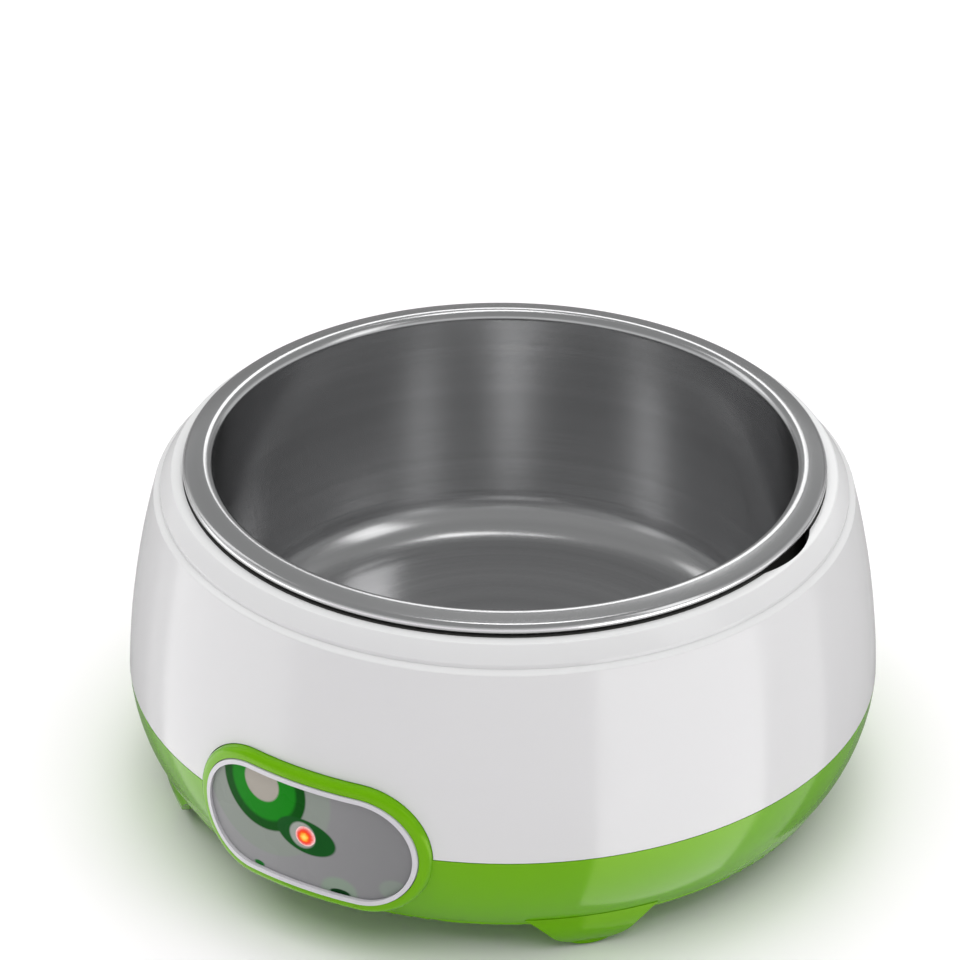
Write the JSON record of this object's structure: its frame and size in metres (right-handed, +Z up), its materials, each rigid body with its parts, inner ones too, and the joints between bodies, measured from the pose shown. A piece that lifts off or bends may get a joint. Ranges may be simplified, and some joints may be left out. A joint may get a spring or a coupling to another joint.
{
  "type": "yogurt maker",
  "caption": "Round electric yogurt maker: steel pot that lifts out of a warmed white housing on a green footed base with an oval lamp panel.",
  "frame": {"origin": "on the pot's axis, in the plane of the foot pads that stands on the table", "axes": "+Z up along the pot's axis; -Y towards the lamp panel at the front; +Y towards the power inlet; +X to the right seen from the front"},
  "size_m": [0.1832, 0.1848, 0.0883],
  "materials": {
    "screw_steel": "zinc plated",
    "liner_plastic": "dark grey heat-resistant moulded plastic",
    "panel_print": "grey printed face with plain green circles",
    "crimp_sleeve": "clear-white insulating sleeve",
    "spring_steel": "bright strip",
    "terminal_brass": "tinned brass",
    "pad_rubber": "soft dark rubber",
    "wire_brown": "brown insulation",
    "plate_aluminium": "pressed plate, fine grain",
    "silicone": "translucent silicone",
    "led_clear": "water-clear red emitter",
    "lens_red": "clear red, lit",
    "inlet_plastic": "black moulded inlet",
    "stainless_steel": "polished rolled rim, satin inside with fine turning lines",
    "wire_red": "red insulation",
    "wire_black": "black insulation",
    "board_laminate": "tan paper laminate",
    "component_body": "lacquered component bodies",
    "base_plastic": "glossy leaf-green moulded plastic",
    "mica": "flaky mica sheet",
    "wire_blue": "blue insulation",
    "shell_plastic": "glossy white moulded plastic",
    "bezel_plastic": "pale satin silver",
    "heater_ceramic": "pale fired ceramic",
    "label_stock": "blank silver label",
    "fuse_body": "white sealed body"
  },
  "bodies": {
    "housing": {"base_screws": "screw_steel", "board_screws": "screw_steel", "chamber_liner": "liner_plastic", "clamp_screws": "screw_steel", "control_panel": "panel_print", "crimp_terminals": "crimp_sleeve", "element_clamp": "spring_steel", "element_tabs": "terminal_brass", "foot_pads": "pad_rubber", "fuse_clip": "spring_steel", "fuse_screw": "screw_steel", "fuse_wire": "wire_brown", "heater_plate": "plate_aluminium", "heater_screws": "screw_steel", "heater_seal": "silicone", "indicator_led": "led_clear", "indicator_lens": "lens_red", "inlet_housing": "inlet_plastic", "inlet_pins": "terminal_brass", "inlet_screws": "screw_steel", "lamp_live_wire": "wire_red", "lamp_neutral_wire": "wire_black", "led_board": "board_laminate", "led_resistor": "component_body", "liner_gasket": "silicone", "live_wire": "wire_brown", "lower_base": "base_plastic", "mica_sheet": "mica", "neutral_wire": "wire_blue", "outer_shell": "shell_plastic", "panel_bezel": "bezel_plastic", "ptc_elements": "heater_ceramic", "rating_plate": "label_stock", "rectifier_diode": "component_body", "thermal_fuse": "fuse_body", "wire_splices": "crimp_sleeve"},
    "pot": {"inner_pot": "stainless_steel"}
  },
  "joints": [
    {"name": "pot_lift", "type": "slide", "parent": "housing", "child": "pot", "axis": [0, 0, 1], "range_m": [0, 0.1]}
  ]
}
